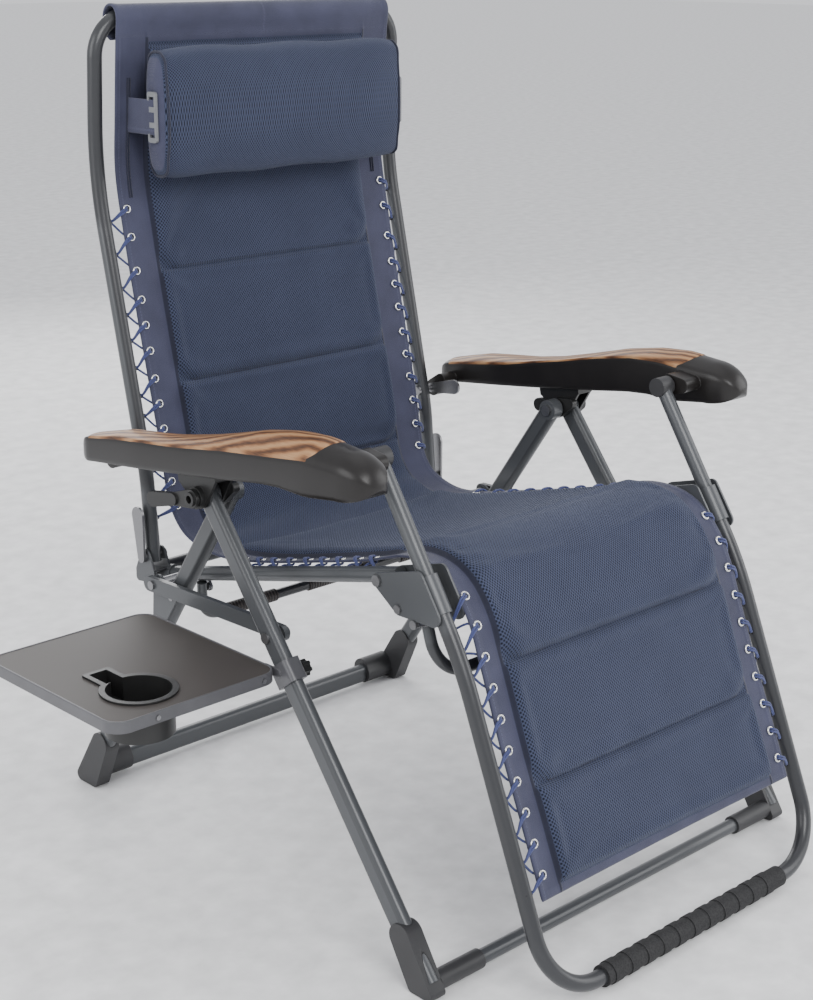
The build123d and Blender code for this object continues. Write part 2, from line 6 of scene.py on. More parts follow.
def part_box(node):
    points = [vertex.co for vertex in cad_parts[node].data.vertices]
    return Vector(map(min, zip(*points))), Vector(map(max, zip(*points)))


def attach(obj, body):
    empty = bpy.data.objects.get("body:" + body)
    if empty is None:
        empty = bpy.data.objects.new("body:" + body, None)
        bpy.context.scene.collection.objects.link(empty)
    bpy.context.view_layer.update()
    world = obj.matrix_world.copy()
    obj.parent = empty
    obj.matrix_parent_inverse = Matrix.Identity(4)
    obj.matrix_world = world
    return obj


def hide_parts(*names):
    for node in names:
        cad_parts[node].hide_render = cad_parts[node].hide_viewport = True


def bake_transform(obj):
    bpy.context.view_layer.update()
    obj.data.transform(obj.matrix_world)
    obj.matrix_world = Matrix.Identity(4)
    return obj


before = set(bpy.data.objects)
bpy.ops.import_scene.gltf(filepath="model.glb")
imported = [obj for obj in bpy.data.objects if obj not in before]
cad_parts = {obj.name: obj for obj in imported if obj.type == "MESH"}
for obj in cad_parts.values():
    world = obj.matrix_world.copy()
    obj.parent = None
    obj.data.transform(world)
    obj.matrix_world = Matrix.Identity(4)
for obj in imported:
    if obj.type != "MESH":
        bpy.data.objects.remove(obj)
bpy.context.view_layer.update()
scene = bpy.context.scene
MM = 0.001

# Points below are in millimetres from the chair's own middle plane and the middle between its feet.
MID = np.array([
    (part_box("front_leg_left")[1].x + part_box("front_leg_right")[0].x) / 2,
    (sum(c.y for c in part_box("front_floor_bar")) + sum(c.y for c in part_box("rear_floor_bar"))) / 4,
    0.0,
])


def metres(points):
    return np.asarray(points, float).reshape(-1, 3) * MM + MID

# ---------------------------------------------------------------- helpers


def collection_link(obj):
    scene.collection.objects.link(obj)
    return obj


def mesh_object(name, verts, faces, materials=(), uvs=None, smooth=True, face_mats=None):
    mesh = bpy.data.meshes.new(name)
    mesh.from_pydata([tuple(v) for v in metres(verts)], [], faces)
    mesh.update()
    for m in materials:
        mesh.materials.append(m)
    if face_mats is not None:
        mesh.polygons.foreach_set("material_index", face_mats)
    if uvs is not None:
        layer = mesh.uv_layers.new(name="UVMap")
        for loop in mesh.loops:
            layer.data[loop.index].uv = uvs[loop.vertex_index]
    if smooth:
        mesh.shade_smooth()
    return collection_link(bpy.data.objects.new(name, mesh))


def join_curves(name, runs, radius, material, cyclic=False, order=3, resolution=5, bevel=2):
    curve = bpy.data.curves.new(name, "CURVE")
    curve.dimensions = "3D"
    curve.bevel_depth = radius
    curve.bevel_resolution = bevel
    curve.resolution_u = resolution
    for points in runs:
        spline = curve.splines.new("NURBS")
        spline.points.add(len(points) - 1)
        for p, q in zip(spline.points, metres(points)):
            p.co = (*q, 1.0)
        spline.use_cyclic_u = cyclic
        spline.order_u = order
        spline.use_endpoint_u = not cyclic
    curve.materials.append(material)
    return collection_link(bpy.data.objects.new(name, curve))


# ---------------------------------------------------------------- materials


class Mat:
    """A small builder for a procedural material."""

    def __init__(self, name, color, rough, metallic=0.0, coat=0.0, sheen=0.0, spec=0.5):
        self.m = bpy.data.materials.new(name)
        self.m.use_nodes = True
        self.t = self.m.node_tree
        self.b = self.t.nodes["Principled BSDF"]
        self.b.inputs["Base Color"].default_value = (*color, 1)
        self.b.inputs["Roughness"].default_value = rough
        self.b.inputs["Metallic"].default_value = metallic
        self.b.inputs["Coat Weight"].default_value = coat
        self.b.inputs["Coat Roughness"].default_value = 0.25
        self.b.inputs["Sheen Weight"].default_value = sheen
        self.b.inputs["Specular IOR Level"].default_value = spec

    def node(self, kind, **values):
        n = self.t.nodes.new(kind)
        for key, value in values.items():
            if key in n.inputs:
                n.inputs[key].default_value = value
            else:
                setattr(n, key, value)
        return n

    def link(self, a, b):
        self.t.links.new(a, b)

    def coords(self, kind="Object", scale=(1, 1, 1)):
        tc = self.node("ShaderNodeTexCoord")
        mp = self.node("ShaderNodeMapping")
        mp.inputs["Scale"].default_value = scale
        self.link(tc.outputs[kind], mp.inputs["Vector"])
        return mp.outputs["Vector"]

    def noise(self, vec, scale, detail=4.0, rough=0.55):
        n = self.node("ShaderNodeTexNoise")
        n.inputs["Scale"].default_value = scale
        n.inputs["Detail"].default_value = detail
        n.inputs["Roughness"].default_value = rough
        self.link(vec, n.inputs["Vector"])
        return n.outputs["Fac"]

    def math(self, op, a, b=None, c=None, clamp=False):
        n = self.node("ShaderNodeMath")
        n.operation = op
        n.use_clamp = clamp
        for i, v in enumerate((a, b, c)):
            if v is None:
                continue
            if isinstance(v, (int, float)):
                n.inputs[i].default_value = v
            else:
                self.link(v, n.inputs[i])
        return n.outputs[0]

    def ramp(self, fac, stops):
        n = self.node("ShaderNodeValToRGB")
        r = n.color_ramp
        while len(r.elements) > 1:
            r.elements.remove(r.elements[-1])
        r.elements[0].position, r.elements[0].color = stops[0][0], (*stops[0][1], 1)
        for pos, col in stops[1:]:
            e = r.elements.new(pos)
            e.color = (*col, 1)
        self.link(fac, n.inputs["Fac"])
        return n.outputs["Color"]

    def span(self, fac, lo, hi):
        n = self.node("ShaderNodeMapRange")
        n.inputs["To Min"].default_value = lo
        n.inputs["To Max"].default_value = hi
        self.link(fac, n.inputs["Value"])
        return n.outputs["Result"]

    def bump(self, height, strength, distance, normal=None):
        n = self.node("ShaderNodeBump")
        n.inputs["Strength"].default_value = strength
        n.inputs["Distance"].default_value = distance
        self.link(height, n.inputs["Height"])
        if normal is not None:
            self.link(normal, n.inputs["Normal"])
        return n.outputs["Normal"]

    def rounded(self, radius):
        n = self.node("ShaderNodeBevel")
        n.samples = 4
        n.inputs["Radius"].default_value = radius
        return n.outputs["Normal"]

    def set(self, socket, value):
        self.link(value, self.b.inputs[socket])


def painted_metal(name, color, light, bevel=0.0012):
    """Satin powder coat: fine orange peel, faint speckle, convex edges painted paler as a highlight."""
    k = Mat(name, color, 0.32, metallic=0.12, coat=0.12, spec=0.45)
    v = k.coords()
    speck = k.noise(v, 900, 2)
    broad = k.noise(v, 9, 4)
    geo = k.node("ShaderNodeNewGeometry")
    # painted highlight: convex edges (high pointiness) are mixed a little towards the paler colour
    edge = k.ramp(geo.outputs["Pointiness"], [(0.5, (0, 0, 0)), (0.58, (1, 1, 1))])
    mix = k.math("MULTIPLY_ADD", broad, 0.5, k.math("MULTIPLY", speck, 0.5))
    base = k.ramp(mix, [(0.3, tuple(c * 0.86 for c in color)), (0.7, tuple(min(1, c * 1.14) for c in color))])
    edge_highlight = k.node("ShaderNodeMix", data_type="RGBA")
    k.link(k.math("MULTIPLY", edge, 0.35), edge_highlight.inputs["Factor"])
    k.link(base, edge_highlight.inputs["A"])
    edge_highlight.inputs["B"].default_value = (*light, 1)
    k.set("Base Color", edge_highlight.outputs["Result"])
    k.set("Roughness", k.span(broad, 0.23, 0.36))
    k.set("Normal", k.bump(speck, 0.10, 0.0004, k.rounded(bevel)))
    return k.m


def moulded(name, color, rough, grain=1400, strength=0.25, bevel=0.0015, coat=0.0, spec=0.5):
    """Moulded plastic with a fine spark texture and slight flow marks."""
    k = Mat(name, color, rough, coat=coat, spec=spec)
    v = k.coords()
    fine = k.noise(v, grain, 3)
    flow = k.noise(v, 22, 5)
    dark, lit = tuple(c * 0.82 for c in color), tuple(min(1, c * 1.18) for c in color)
    k.set("Base Color", k.ramp(flow, [(0.25, dark), (0.75, lit)]))
    k.set("Roughness", k.span(flow, rough - 0.05, rough + 0.08))
    k.set("Normal", k.bump(fine, strength, 0.0003, k.rounded(bevel)))
    return k.m


def air_mesh(name):
    """Knitted 3-D spacer fabric: staggered small holes, navy with a soft sheen."""
    k = Mat(name, (0.05, 0.075, 0.16), 0.82, sheen=0.22, spec=0.2)
    k.b.inputs["Sheen Roughness"].default_value = 0.45
    k.b.inputs["Sheen Tint"].default_value = (0.55, 0.6, 0.75, 1)
    v = k.coords("UV")
    sep = k.node("ShaderNodeSeparateXYZ")
    k.link(v, sep.inputs[0])
    px, py = 0.0042, 0.0052

    def dots(shift):
        a = k.math("SUBTRACT", k.math("FRACT", k.math("ADD", k.math("DIVIDE", sep.outputs[0], px), shift)), 0.5)
        b = k.math("SUBTRACT", k.math("FRACT", k.math("ADD", k.math("DIVIDE", sep.outputs[1], py), shift)), 0.5)
        a2 = k.math("MULTIPLY", a, a)
        b2 = k.math("MULTIPLY", k.math("MULTIPLY", b, b), 0.8)
        return k.math("SQRT", k.math("ADD", a2, b2))

    hole = k.math("MINIMUM", dots(0.0), dots(0.5))
    depth = k.math("MULTIPLY", k.math("SUBTRACT", hole, 0.10), 4.5, clamp=True)
    obj = k.coords()
    cloudy = k.noise(obj, 14, 5)
    fuzz = k.noise(obj, 1600, 2)
    tone = k.math("MULTIPLY", depth, k.span(cloudy, 0.78, 1.12))
    col = k.ramp(tone, [(0.0, (0.006, 0.007, 0.014)), (0.55, (0.027, 0.033, 0.062)), (1.0, (0.056, 0.067, 0.116))])
    k.set("Base Color", col)
    k.set("Roughness", k.span(fuzz, 0.74, 0.92))
    height = k.math("ADD", depth, k.math("MULTIPLY", fuzz, 0.25))
    k.set("Normal", k.bump(height, 0.75, 0.0011))
    return k.m


def plain_weave(name, dark, lit, pitch=0.0011):
    """Flat woven polyester."""
    k = Mat(name, lit, 0.7, sheen=0.2, spec=0.3)
    v = k.coords("UV")
    sep = k.node("ShaderNodeSeparateXYZ")
    k.link(v, sep.inputs[0])
    w1 = k.math("SINE", k.math("MULTIPLY", sep.outputs[0], 2 * math.pi / pitch))
    w2 = k.math("SINE", k.math("MULTIPLY", sep.outputs[1], 2 * math.pi / pitch))
    weave = k.math("MULTIPLY_ADD", k.math("MULTIPLY", w1, w2), 0.5, 0.5)
    cloudy = k.noise(k.coords(), 25, 4)
    tone = k.math("MULTIPLY_ADD", weave, 0.35, k.math("MULTIPLY", cloudy, 0.65))
    dash = k.math("LESS_THAN", k.math("FRACT", k.math("DIVIDE", sep.outputs[1], 0.0046)), 0.72)
    rows = None
    for at_u in (0.0058, 0.0072):
        near = k.math("LESS_THAN", k.math("ABSOLUTE", k.math("SUBTRACT", sep.outputs[0], at_u)), 0.0005)
        rows = near if rows is None else k.math("ADD", rows, near)
    thread = k.math("MULTIPLY", rows, dash)
    tone = k.math("ADD", tone, k.math("MULTIPLY", thread, 0.4))
    k.set("Base Color", k.ramp(tone, [(0.2, dark), (0.8, lit)]))
    k.set("Roughness", k.span(cloudy, 0.6, 0.8))
    k.set("Normal", k.bump(k.math("ADD", weave, k.math("MULTIPLY", thread, 1.5)), 0.4, 0.0004))
    return k.m


def striped_wood(name):
    """Brown striped wood print under a satin lacquer, the stripes running along the armrest."""
    k = Mat(name, (0.35, 0.2, 0.11), 0.4, coat=0.05, spec=0.3)
    v = k.coords()
    sep = k.node("ShaderNodeSeparateXYZ")
    k.link(v, sep.inputs[0])
    warp = k.noise(k.coords(scale=(10, 2.4, 6)), 3.0, 4)
    fine = k.noise(k.coords(scale=(330, 14, 330)), 2.0, 6)
    lane = k.math("ADD", k.math("MULTIPLY", sep.outputs[0], 560), k.math("MULTIPLY", warp, 11.0))
    lane = k.math("ADD", lane, k.math("MULTIPLY", sep.outputs[1], 70))
    band = k.math("MULTIPLY_ADD", k.math("SINE", lane), 0.5, 0.5)
    tone = k.math("ADD", k.math("MULTIPLY", band, 0.6), k.math("MULTIPLY", fine, 0.44))
    stops = [
        (0.16, (0.050, 0.020, 0.009)), (0.38, (0.165, 0.072, 0.030)),
        (0.62, (0.31, 0.155, 0.068)), (0.92, (0.44, 0.26, 0.13)),
    ]
    k.set("Base Color", k.ramp(tone, stops))
    k.set("Roughness", k.span(fine, 0.36, 0.52))
    k.set("Normal", k.bump(tone, 0.12, 0.0004))
    return k.m


def bright_metal(name, color, rough):
    k = Mat(name, color, rough, metallic=1.0)
    v = k.coords()
    n = k.noise(v, 700, 3)
    k.set("Roughness", k.span(n, rough - 0.06, rough + 0.12))
    k.set("Base Color", k.ramp(n, [(0.3, tuple(c * 0.8 for c in color)), (0.7, color)]))
    k.set("Normal", k.bump(n, 0.08, 0.0003))
    return k.m


def grip_foam(name):
    k = Mat(name, (0.02, 0.02, 0.021), 0.75, spec=0.35)
    v = k.coords()
    vor = k.node("ShaderNodeTexVoronoi")
    vor.inputs["Scale"].default_value = 420
    k.link(v, vor.inputs["Vector"])
    cell = vor.outputs["Distance"]
    broad = k.noise(v, 60, 4)
    tone = k.math("ADD", cell, k.math("MULTIPLY", broad, 0.4))
    k.set("Base Color", k.ramp(tone, [(0.2, (0.009, 0.009, 0.010)), (0.9, (0.026, 0.026, 0.027))]))
    k.set("Roughness", k.span(broad, 0.6, 0.85))
    k.set("Normal", k.bump(cell, 0.3, 0.0006))
    return k.m


def ribbed(name):
    k = Mat(name, (0.03, 0.025, 0.024), 0.55)
    v = k.coords()
    sep = k.node("ShaderNodeSeparateXYZ")
    k.link(v, sep.inputs[0])
    rib = k.math("MULTIPLY_ADD", k.math("SINE", k.math("MULTIPLY", sep.outputs[0], 2 * math.pi / 0.005)), 0.5, 0.5)
    n = k.noise(v, 90, 4)
    k.set("Base Color", k.ramp(k.math("MULTIPLY", rib, n), [(0.1, (0.012, 0.01, 0.01)), (0.6, (0.07, 0.055, 0.05))]))
    k.set("Roughness", k.span(n, 0.45, 0.7))
    k.set("Normal", k.bump(rib, 0.9, 0.001))
    return k.m


def elastic_cord(name):
    k = Mat(name, (0.03, 0.04, 0.13), 0.6, sheen=0.2)
    v = k.coords()
    w = k.node("ShaderNodeTexWave")
    w.wave_type = "BANDS"
    w.bands_direction = "DIAGONAL"
    w.inputs["Scale"].default_value = 420
    w.inputs["Distortion"].default_value = 2
    k.link(v, w.inputs["Vector"])
    k.set("Base Color", k.ramp(w.outputs["Fac"], [(0.1, (0.015, 0.02, 0.08)), (0.9, (0.06, 0.08, 0.24))]))
    n = k.noise(v, 300, 2)
    k.set("Roughness", k.span(n, 0.5, 0.7))
    k.set("Normal", k.bump(w.outputs["Fac"], 0.4, 0.0004))
    return k.m


def tray_skin(name):
    """Semi-gloss taupe sheet with a very fine emboss."""
    k = Mat(name, (0.06, 0.055, 0.052), 0.45, spec=0.22)
    v = k.coords()
    fine = k.noise(v, 1100, 2)
    broad = k.noise(v, 5, 4)
    k.set("Base Color", k.ramp(broad, [(0.3, (0.050, 0.044, 0.041)), (0.7, (0.068, 0.060, 0.056))]))
    k.set("Roughness", k.span(broad, 0.42, 0.54))
    k.set("Normal", k.bump(fine, 0.12, 0.0002, k.rounded(0.001)))
    return k.m


# the frame paint's last colour is the pale tint of its painted edge highlight
M_PAINT = painted_metal("frame_paint_m", (0.028, 0.029, 0.032), (0.15, 0.16, 0.17))
M_ZINC = bright_metal("zinc_m", (0.30, 0.30, 0.31), 0.35)
M_NICKEL = bright_metal("nickel_m", (0.82, 0.82, 0.80), 0.16)
M_FOOT = moulded("foot_plastic_m", (0.030, 0.030, 0.032), 0.45)
M_ARM = moulded("arm_plastic_m", (0.012, 0.0105, 0.010), 0.32, grain=900, strength=0.10, coat=0.04, spec=0.36)
M_BLACK = moulded("black_plastic_m", (0.012, 0.012, 0.012), 0.38, strength=0.2, bevel=0.0008)
M_EDGE = moulded("tray_edge_m", (0.075, 0.075, 0.082), 0.34, grain=500, strength=0.12, coat=0.2)
M_BUCKLE = moulded("buckle_m", (0.17, 0.175, 0.185), 0.4, strength=0.1, bevel=0.0006)
M_TRAY = tray_skin("tray_skin_m")
M_MESH = air_mesh("air_mesh_m")
M_PLAIN = plain_weave("plain_weave_m", (0.022, 0.024, 0.050), (0.062, 0.066, 0.118))
M_PIPE = plain_weave("piping_m", (0.008, 0.009, 0.020), (0.022, 0.025, 0.052), 0.0007)
M_CORD = elastic_cord("elastic_cord_m")
M_WOOD = striped_wood("striped_wood_m")
M_GRIP = grip_foam("grip_foam_m")
M_RIB = ribbed("ribbed_sleeve_m")

FINISH = (
    (("foot", "end_caps"), M_FOOT), (("tray_rim", "tray_clamp"), M_EDGE), (("tray_top",), M_TRAY),
    (("tray_cup_holder", "tray_knob", "carriage", "lock_lever"), M_BLACK),
    (("pins", "rivets", "tray_screws"), M_ZINC), (("u_bar_sleeves",), M_RIB), (("legrest_grip",), M_GRIP),
    (("pillow_buckles",), M_BUCKLE), (("armrest_inlay",), M_WOOD), (("armrest_left", "armrest_right"), M_ARM),
)
for name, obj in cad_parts.items():
    found = [m for words, m in FINISH if any(w in name for w in words)]
    obj.data.materials.clear()
    obj.data.materials.append(found[0] if found else M_PAINT)

# ---------------------------------------------------------------- sling line (side view, y and z)

SPINE = np.array([
    (334, 1058), (345, 1068), (349, 1085), (344, 1099), (333, 1104), (322, 1099), (318, 1086), (321, 1062),
    (330, 960), (334, 885), (319, 800), (297, 700), (273, 600), (254, 520), (243, 462), (229, 424),
    (200, 400), (140, 390), (60, 403), (-50, 431), (-150, 458), (-212, 479), (-262, 481), (-300, 467),
    (-330, 436), (-352, 392), (-392, 287), (-428, 202), (-461, 122),
], float)


def catmull(points, per=24):
    out = []
    n = len(points)
    for i in range(n - 1):
        p0, p1, p2, p3 = points[max(i - 1, 0)], points[i], points[i + 1], points[min(i + 2, n - 1)]
        for t in np.linspace(0, 1, per, endpoint=False):
            out.append(0.5 * ((2 * p1) + (-p0 + p2) * t + (2 * p0 - 5 * p1 + 4 * p2 - p3) * t * t
                              + (-p0 + 3 * p1 - 3 * p2 + p3) * t ** 3))
    out.append(points[-1])
    return np.array(out)


LINE = catmull(SPINE)
ARC = np.concatenate([[0], np.cumsum(np.hypot(*np.diff(LINE, axis=0).T))])
LENGTH = ARC[-1]


def at(s):
    """Point, tangent and sitter-side normal of the sling line at length s."""
    y, z = np.interp(s, ARC, LINE[:, 0]), np.interp(s, ARC, LINE[:, 1])
    a, b = max(s - 4, 0), min(s + 4, LENGTH)
    ty = np.interp(b, ARC, LINE[:, 0]) - np.interp(a, ARC, LINE[:, 0])
    tz = np.interp(b, ARC, LINE[:, 1]) - np.interp(a, ARC, LINE[:, 1])
    n = math.hypot(ty, tz)
    return (y, z), (ty / n, tz / n), (tz / n, -ty / n)


def s_near(y, z, lo=0.0):
    d = np.hypot(LINE[:, 0] - y, LINE[:, 1] - z)
    d[ARC < lo] = 1e9
    return float(ARC[int(np.argmin(d))])


S_BAR = s_near(321, 1062, 60)
S_LUMBAR, S_SEAT, S_KNEE = s_near(243, 456), s_near(140, 390), s_near(-236, 482)
S_SHIN = s_near(-350, 396)
CELLS = [
    (S_BAR + 12, s_near(308, 749)), (s_near(308, 749), s_near(273, 599)), (s_near(273, 599), S_LUMBAR),
    (S_SEAT - 14, s_near(-203, 477)),
    (s_near(-206, 478), s_near(-358, 378)), (s_near(-358, 378), s_near(-413, 238)), (s_near(-413, 238), LENGTH - 13),
]
# where one rigid body hands the fabric over to the next
CUTS = [0.0, s_near(231, 428), s_near(208, 404), s_near(122, 391), s_near(-212, 479), S_KNEE, s_near(-264, 480), LENGTH]
NAMES = ["back_panel", "lumbar_upper", "lumbar_lower", "seat_panel", "knee_rear", "knee_front", "legrest_panel"]
BODIES = [
    "back", ("back", "back_pins"), ("back_pins", "seat"), "seat",
    ("seat", "knee_pins"), ("knee_pins", "legrest"), "legrest",
]


def half_width(s):
    return float(np.interp(s, [0, S_LUMBAR, S_SEAT, S_KNEE, S_SHIN, LENGTH], [242, 242, 231, 232, 241, 241]))


def pad_half(s):
    return float(np.interp(s, [0, S_LUMBAR, S_SEAT, S_KNEE, S_SHIN, LENGTH], [193, 193, 193, 200, 207, 207]))


def cell_depth(x, s):
    """Distance inside the padded cell at (x, s); negative outside all cells. Lower corners are rounder."""
    best = -20.0
    for i, (a, b) in enumerate(CELLS):
        if a - 20 < s < b + 20:
            mid = (a + b) / 2
            r = 34.0 if s > mid and i < len(CELLS) - 1 else 8.0
            px = abs(x) - (pad_half(s) - r)
            py = abs(s - mid) - ((b - a) / 2 - r)
            best = max(best, r - math.hypot(max(px, 0), max(py, 0)) - min(max(px, py), 0))
    return best


def crown(d, reach=38.0):
    t = min(max(d, 0.0) / reach, 1.0)
    return math.sqrt(1 - (1 - t) ** 2)


def sag(x, s):
    knots = [0, S_BAR, S_BAR + 160, S_LUMBAR, S_SEAT, S_SEAT + 130, S_KNEE - 60, S_KNEE, S_SHIN, LENGTH]
    amount = np.interp(s, knots, [0, 0, 6, 7, 14, 17, 9, 3, 4, 4])
    return -float(amount) * (1 - (x / half_width(s)) ** 2)


def surface(x, s, lift=0.0):
    """A point over the sling at (x, s), lifted towards the sitter."""
    (y, z), t, n = at(s)
    f = sag(x, s) + lift
    return (x, y + n[0] * f, z + n[1] * f)


STEP, INNER = 7.0, 38
NS = int(round(LENGTH / STEP))
s_vals = np.linspace(0, LENGTH, NS + 1)
for a, b in CELLS:
    for edge in (a, b):
        for off in (-5.0, -2.2, 0.0, 2.2, 5.0):
            s_vals = s_vals[(abs(s_vals - edge - off) > 1.4) | (abs(s_vals - edge) < 0.01)]
            s_vals = np.append(s_vals, edge + off)
s_vals = np.unique(np.round(s_vals, 3))
s_vals = s_vals[np.concatenate([[True], np.diff(s_vals) > 0.9])]
s_vals[-1] = LENGTH
NS = len(s_vals) - 1
cut_rows = [int(np.argmin(abs(s_vals - c))) for c in CUTS]
for j, c in zip(cut_rows, CUTS):
    s_vals[j] = c


def columns(s):
    w, p = half_width(s), pad_half(s)
    rim = [p - 4.5, p - 1.7, p, p + 1.7, p + 4.5, (p + w) / 2, w - 9.5, w - 8, w - 2, w]
    near = (4.5, 9, 15, 22)
    middle_part = list(np.linspace(-(p - 30), p - 30, INNER - 5))
    inner = [-(p - q) for q in near] + middle_part + [p - q for q in near[::-1]]
    return [-x for x in rim[::-1]] + inner[1:-1] + rim


NX = len(columns(0.0)) - 1
front, rear, uv, depth = [], [], [], []
for s in s_vals:
    w, p = half_width(s), pad_half(s)
    for x in columns(s):
        d = cell_depth(x, s) if abs(x) < p else -5.0
        thick = 1.6
        if abs(x) < p and s > S_BAR:
            thick = 5.0
        if abs(x) > w - 9 or s > LENGTH - 11:
            thick = 3.4
        lift = 17.0 * crown(d)
        if abs(abs(x) - p) < 0.1 and s > S_BAR:
            lift = 1.9
        if abs(x) < p - 4 and S_LUMBAR < s < S_SEAT:
            lift = max(lift, 7.0 * crown(p - abs(x), 30))
        front.append(surface(x, s, thick / 2 + lift))
        rear.append(surface(x, s, -thick / 2 - 3.0 * crown(d)))
        uv.append((x, s))
        depth.append(d)

count = len(front)
MESH_SLOT, PLAIN_SLOT, PIPE_SLOT = 0, 1, 2
faces, mats, rows = [], [], []


def add_face(face, mat, row):
    faces.append(face)
    mats.append(mat)
    rows.append(row)


for j in range(NS):
    s = (s_vals[j] + s_vals[j + 1]) / 2
    xs, p = columns(s), pad_half(s)
    for i in range(NX):
        a = j * (NX + 1) + i
        b, c, d = a + 1, a + NX + 2, a + NX + 1
        xm = abs(xs[i] + xs[i + 1]) / 2
        m = PLAIN_SLOT if xm > p or s < S_BAR + 6 or s > LENGTH - 11 else MESH_SLOT
        if abs(xm - p) < 1.6 and s > S_BAR:
            m = PIPE_SLOT
        add_face((a, b, c, d), m, j)
        add_face((a + count, d + count, c + count, b + count), PLAIN_SLOT, j)
    for i in (0, NX):
        a = j * (NX + 1) + i
        d = a + NX + 1
        add_face((a, d, d + count, a + count) if i == 0 else (a, a + count, d + count, d), PLAIN_SLOT, j)
for j in (0, NS):
    for i in range(NX):
        a = j * (NX + 1) + i
        face = (a, a + count, a + 1 + count, a + 1) if j == 0 else (a, a + 1, a + 1 + count, a + count)
        add_face(face, PLAIN_SLOT, min(j, NS - 1))


def cloth_settle(name, verts, faces, pins, pressure, cap, frames=18):
    """Inflate a closed cloth form and give back how far each point moved, in millimetres, capped."""
    obj = mesh_object(name, verts, faces)
    group = obj.vertex_groups.new(name="pin")
    group.add([int(i) for i in np.nonzero(pins)[0]], 1.0, "REPLACE")
    mod = obj.modifiers.new("Cloth", "CLOTH")
    st = mod.settings
    st.quality = 4
    st.mass = 0.35
    st.tension_stiffness = st.compression_stiffness = 25
    st.shear_stiffness = 12
    st.bending_stiffness = 0.6
    st.vertex_group_mass = "pin"
    st.use_pressure = True
    st.uniform_pressure_force = pressure
    st.effector_weights.gravity = 0
    mod.collision_settings.use_collision = False
    mod.point_cache.frame_start, mod.point_cache.frame_end = 1, frames
    for f in range(1, frames + 1):
        scene.frame_set(f)
    got = obj.evaluated_get(bpy.context.evaluated_depsgraph_get()).to_mesh()
    start = np.array([tuple(v.co) for v in obj.data.vertices])
    move = (np.array([tuple(v.co) for v in got.vertices]) - start) / MM
    scene.frame_set(1)
    bpy.data.objects.remove(obj, do_unlink=True)
    size = np.linalg.norm(move, axis=1)
    size[size == 0] = 1
    return move * np.minimum(1.0, cap / size)[:, None]


form = np.array(front + rear)
form = form + cloth_settle("sling_sim", form, faces, np.array(depth + depth) < 6.0, 3.0, 8.0)

# creases: short ones that fan from the seams, long ones where back and seat meet
for k, (x, s) in enumerate(uv):
    p = pad_half(s)
    if abs(x) < p - 4 and s > S_BAR:
        near_seam = math.exp(-max(depth[k], 0) / 28.0)
        hip = math.exp(-((s - (S_LUMBAR + S_SEAT) / 2) / 85.0) ** 2)
        fan = math.sin(x / 12.0 + 2.1 * math.sin(s / 61.0))
        wr = 0.8 * near_seam * fan * (0.5 + 0.5 * math.sin(x / 47.0 + s / 33.0))
        wr += 2.6 * hip * math.sin(s / 9.5 + x / 50.0 + 1.3 * math.sin(x / 71.0)) * (0.35 + 0.65 * abs(x) / 200.0)
        wr += 0.8 * math.sin(x / 83.0 + 1.7) * math.sin(s / 57.0 + 0.4)
        n = at(s)[2]
        form[k, 1] += n[0] * wr
        form[k, 2] += n[1] * wr

whole = mesh_object("sling_whole", form, faces, (M_MESH, M_PLAIN, M_PIPE), None, True, mats)
flat = whole.data.attributes.new("flat", "FLOAT_VECTOR", "POINT")
flat.data.foreach_set("vector", np.array([(x, s, 0) for x, s in uv + uv], float).ravel())
sub = whole.modifiers.new("Subdivision", "SUBSURF")
sub.levels = sub.render_levels = 1
fine = bpy.data.meshes.new_from_object(whole.evaluated_get(bpy.context.evaluated_depsgraph_get()))
bpy.data.objects.remove(whole, do_unlink=True)
co = np.zeros(len(fine.vertices) * 3)
fine.vertices.foreach_get("co", co)
co = (co.reshape(-1, 3) - MID) / MM
flat = np.zeros(len(fine.vertices) * 3)
fine.attributes["flat"].data.foreach_get("vector", flat)
flat = flat.reshape(-1, 3)
normals = np.array([tuple(v.normal) for v in fine.vertices])
quads = [tuple(p.vertices) for p in fine.polygons]
quad_mat = [p.material_index for p in fine.polygons]
middle = np.array([flat[list(q), 1].mean() for q in quads])

for i, name in enumerate(NAMES):
    chosen = np.nonzero((middle >= CUTS[i]) & (middle < CUTS[i + 1] + (1 if i == 6 else 0)))[0]
    used = sorted({v for k in chosen for v in quads[k]})
    index = {v: q for q, v in enumerate(used)}
    obj = mesh_object("sling_" + name, co[used], [tuple(index[v] for v in quads[k]) for k in chosen],
                      (M_MESH, M_PLAIN, M_PIPE), None, True, [quad_mat[k] for k in chosen])
    layer = obj.data.uv_layers.new(name="UVMap")
    for poly in obj.data.polygons:
        for loop in poly.loop_indices:
            x, s, _ = flat[used[obj.data.loops[loop].vertex_index]]
            u = x if poly.material_index != PLAIN_SLOT or s < S_BAR else half_width(s) - abs(x)
            layer.data[loop].uv = (u * MM, s * MM)
    obj.data.normals_split_custom_set_from_vertices([normals[v] for v in used])
    if isinstance(BODIES[i], str):
        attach(obj, BODIES[i])
    else:
        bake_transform(obj)
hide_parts("back_sling")
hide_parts("seat_sling")
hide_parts("legrest_sling")

